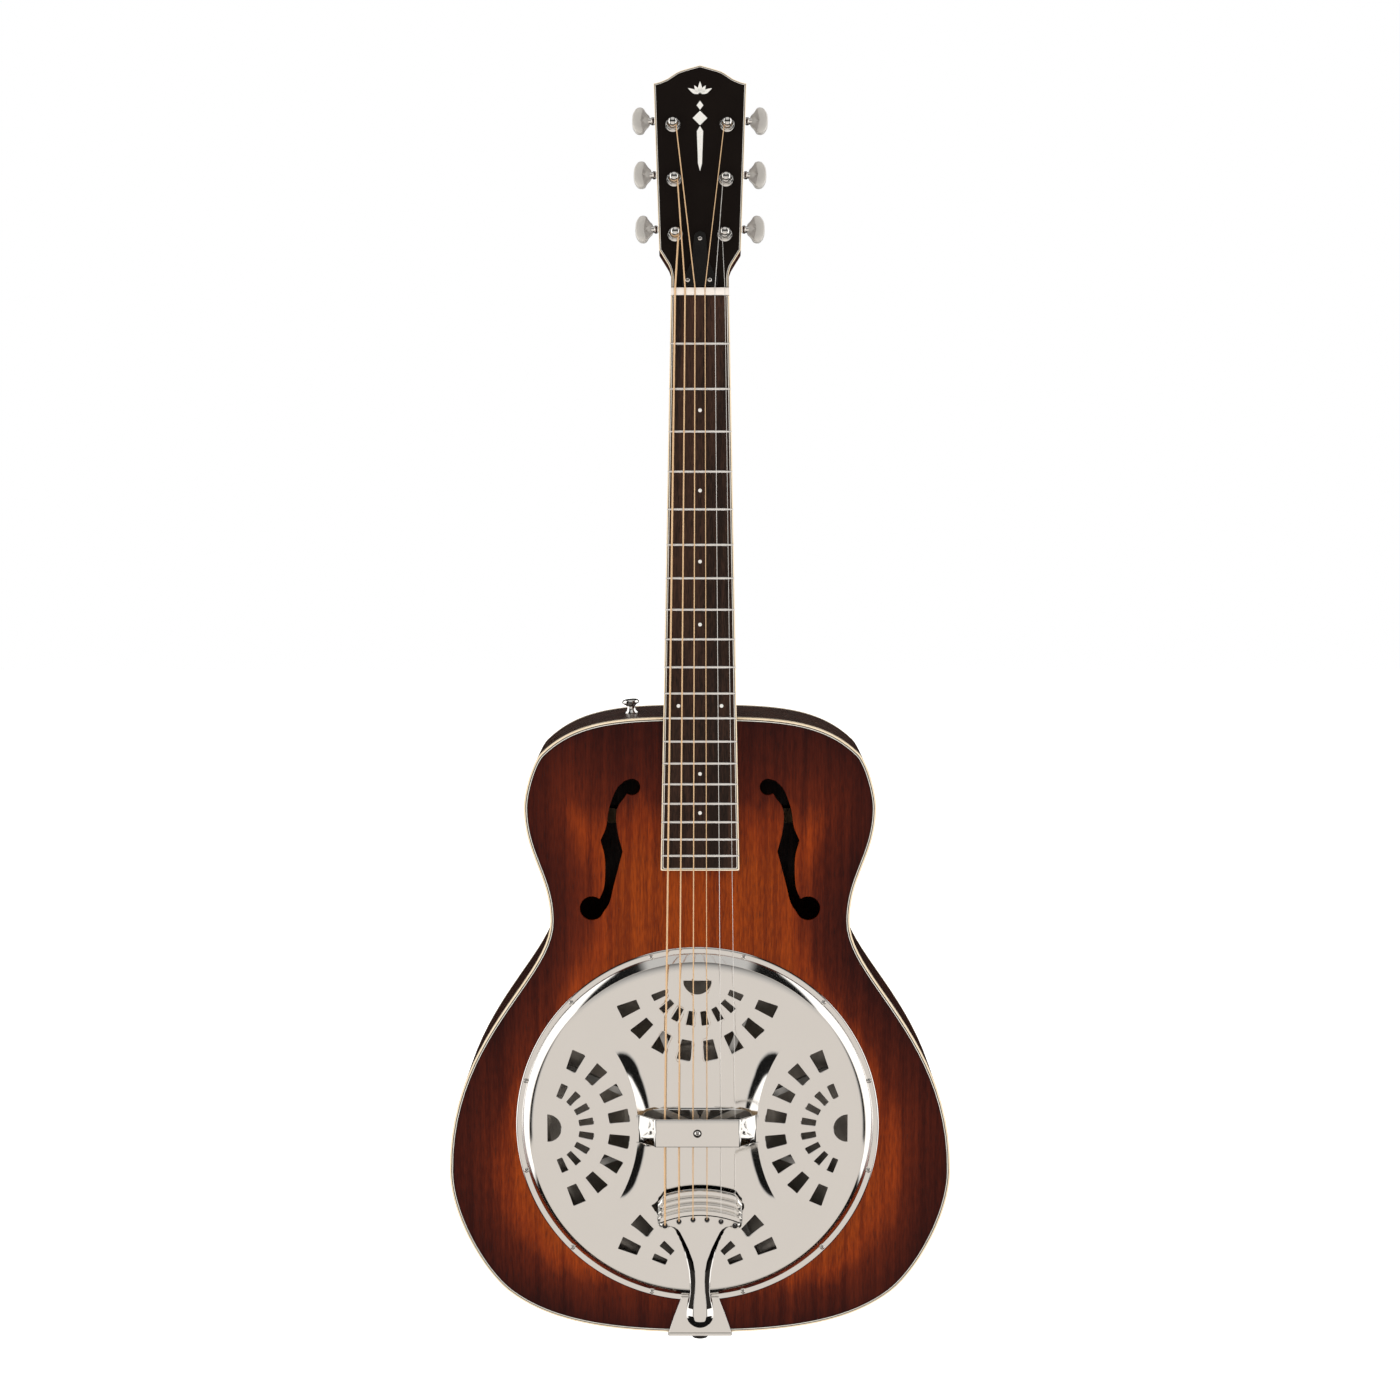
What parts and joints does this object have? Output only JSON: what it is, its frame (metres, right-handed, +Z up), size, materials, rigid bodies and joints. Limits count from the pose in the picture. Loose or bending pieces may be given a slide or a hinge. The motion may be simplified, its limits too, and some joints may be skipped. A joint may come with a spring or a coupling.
{
  "type": "resonator guitar",
  "caption": "Round-neck resonator guitar with a domed metal cover plate over a cone, f-shaped sound holes, a palm rest, a trapeze tailpiece and geared tuners.",
  "frame": {"origin": "middle of the lower face of the end pin", "axes": "+Z up the neck, -Y out of the face with the strings, +X to the treble side"},
  "size_m": [0.396, 0.129, 1.0148],
  "materials": {
    "sunburst_top": "gloss sunburst over straight-grained mahogany, amber in the middle and nearly black at the edge",
    "mahogany": "gloss dark brown stain with visible pores",
    "bare_wood": "unfinished",
    "binding": "aged cream with thin black and white lines",
    "rosewood": "open-pored, oiled",
    "bone": "polished bone",
    "black_lacquer": "high gloss",
    "black_plastic": "polished",
    "chrome": "polished plate",
    "fret_wire": "polished nickel silver",
    "spun_aluminium": "spun, with fine turning lines",
    "maple": "unfinished",
    "steel": "machined",
    "plain_steel": "bright drawn wire",
    "bronze": "bronze winding"
  },
  "bodies": {
    "instrument": {"top_plate": "sunburst_top", "back_plate": "mahogany", "side_rim": "mahogany", "top_binding": "binding", "back_binding": "binding", "top_lining_bass": "bare_wood", "top_lining_treble": "bare_wood", "back_lining_bass": "bare_wood", "back_lining_treble": "bare_wood", "neck_block": "bare_wood", "tail_block": "bare_wood", "back_brace_upper": "bare_wood", "back_brace_lower": "bare_wood", "soundwell": "bare_wood", "resonator_cone": "spun_aluminium", "spider_bridge": "spun_aluminium", "saddle_bass": "maple", "saddle_treble": "maple", "cover_plate": "chrome", "palm_rest": "chrome", "tailpiece": "chrome", "tailpiece_bracket": "chrome", "end_pin": "black_plastic", "strap_button": "chrome", "neck": "mahogany", "headstock_veneer": "black_lacquer", "truss_rod_cover": "black_plastic", "truss_rod": "steel", "nut": "bone", "fretboard": "rosewood", "fretboard_binding": "binding", "frets": "fret_wire", "fretboard_wedge": "black_lacquer", "tuner_housing_bass_1": "chrome", "tuner_housing_treble_1": "chrome", "tuner_housing_bass_2": "chrome", "tuner_housing_treble_2": "chrome", "tuner_housing_bass_3": "chrome", "tuner_housing_treble_3": "chrome", "string_6": "bronze", "string_5": "bronze", "string_4": "bronze", "string_3": "bronze", "string_2": "plain_steel", "string_1": "plain_steel"},
    "button_bass_1": {"tuner_button_bass_1": "chrome"},
    "button_treble_1": {"tuner_button_treble_1": "chrome"},
    "button_bass_2": {"tuner_button_bass_2": "chrome"},
    "button_treble_2": {"tuner_button_treble_2": "chrome"},
    "button_bass_3": {"tuner_button_bass_3": "chrome"},
    "button_treble_3": {"tuner_button_treble_3": "chrome"},
    "post_bass_1": {"tuner_post_bass_1": "chrome"},
    "post_treble_1": {"tuner_post_treble_1": "chrome"},
    "post_bass_2": {"tuner_post_bass_2": "chrome"},
    "post_treble_2": {"tuner_post_treble_2": "chrome"},
    "post_bass_3": {"tuner_post_bass_3": "chrome"},
    "post_treble_3": {"tuner_post_treble_3": "chrome"},
    "spider_screw": {"tension_screw": "steel"},
    "truss_adjuster": {"truss_nut": "steel"}
  },
  "joints": [
    {"name": "turn_button_bass_1", "type": "hinge", "parent": "instrument", "child": "button_bass_1", "pos_m": [-0.0189, -0.0092, 0.89005], "axis": [1, 0, 0], "continuous": true},
    {"name": "turn_post_bass_1", "type": "hinge", "parent": "instrument", "child": "post_bass_1", "pos_m": [-0.0189, -0.03272, 0.88495], "axis": [0, 0.9636, -0.2672], "continuous": true},
    {"name": "turn_button_treble_1", "type": "hinge", "parent": "instrument", "child": "button_treble_1", "pos_m": [0.0189, -0.0092, 0.89005], "axis": [1, 0, 0], "continuous": true},
    {"name": "turn_post_treble_1", "type": "hinge", "parent": "instrument", "child": "post_treble_1", "pos_m": [0.0189, -0.03272, 0.88495], "axis": [0, 0.9636, -0.2672], "continuous": true},
    {"name": "turn_button_bass_2", "type": "hinge", "parent": "instrument", "child": "button_bass_2", "pos_m": [-0.0198, 0.00242, 0.93196], "axis": [1, 0, 0], "continuous": true},
    {"name": "turn_post_bass_2", "type": "hinge", "parent": "instrument", "child": "post_bass_2", "pos_m": [-0.0198, -0.0211, 0.92686], "axis": [0, 0.9636, -0.2672], "continuous": true},
    {"name": "turn_button_treble_2", "type": "hinge", "parent": "instrument", "child": "button_treble_2", "pos_m": [0.0198, 0.00242, 0.93196], "axis": [1, 0, 0], "continuous": true},
    {"name": "turn_post_treble_2", "type": "hinge", "parent": "instrument", "child": "post_treble_2", "pos_m": [0.0198, -0.0211, 0.92686], "axis": [0, 0.9636, -0.2672], "continuous": true},
    {"name": "turn_button_bass_3", "type": "hinge", "parent": "instrument", "child": "button_bass_3", "pos_m": [-0.0209, 0.01405, 0.97388], "axis": [1, 0, 0], "continuous": true},
    {"name": "turn_post_bass_3", "type": "hinge", "parent": "instrument", "child": "post_bass_3", "pos_m": [-0.0209, -0.00947, 0.96878], "axis": [0, 0.9636, -0.2672], "continuous": true},
    {"name": "turn_button_treble_3", "type": "hinge", "parent": "instrument", "child": "button_treble_3", "pos_m": [0.0209, 0.01405, 0.97388], "axis": [1, 0, 0], "continuous": true},
    {"name": "turn_post_treble_3", "type": "hinge", "parent": "instrument", "child": "post_treble_3", "pos_m": [0.0209, -0.00947, 0.96878], "axis": [0, 0.9636, -0.2672], "continuous": true},
    {"name": "turn_spider_screw", "type": "hinge", "parent": "instrument", "child": "spider_screw", "pos_m": [0, -0.05, 0.1935], "axis": [0, 1, 0], "range_deg": [-180, 180]},
    {"name": "turn_truss_nut", "type": "hinge", "parent": "instrument", "child": "truss_adjuster", "pos_m": [0, -0.03694, 0.83808], "axis": [0, 0.0262, 0.9997], "range_deg": [-180, 180]}
  ],
  "couplings": [
    {"joint": "turn_post_bass_1", "follows": "turn_button_bass_1", "ratio": 0.066667},
    {"joint": "turn_post_treble_1", "follows": "turn_button_treble_1", "ratio": -0.066667},
    {"joint": "turn_post_bass_2", "follows": "turn_button_bass_2", "ratio": 0.066667},
    {"joint": "turn_post_treble_2", "follows": "turn_button_treble_2", "ratio": -0.066667},
    {"joint": "turn_post_bass_3", "follows": "turn_button_bass_3", "ratio": 0.066667},
    {"joint": "turn_post_treble_3", "follows": "turn_button_treble_3", "ratio": -0.066667}
  ]
}
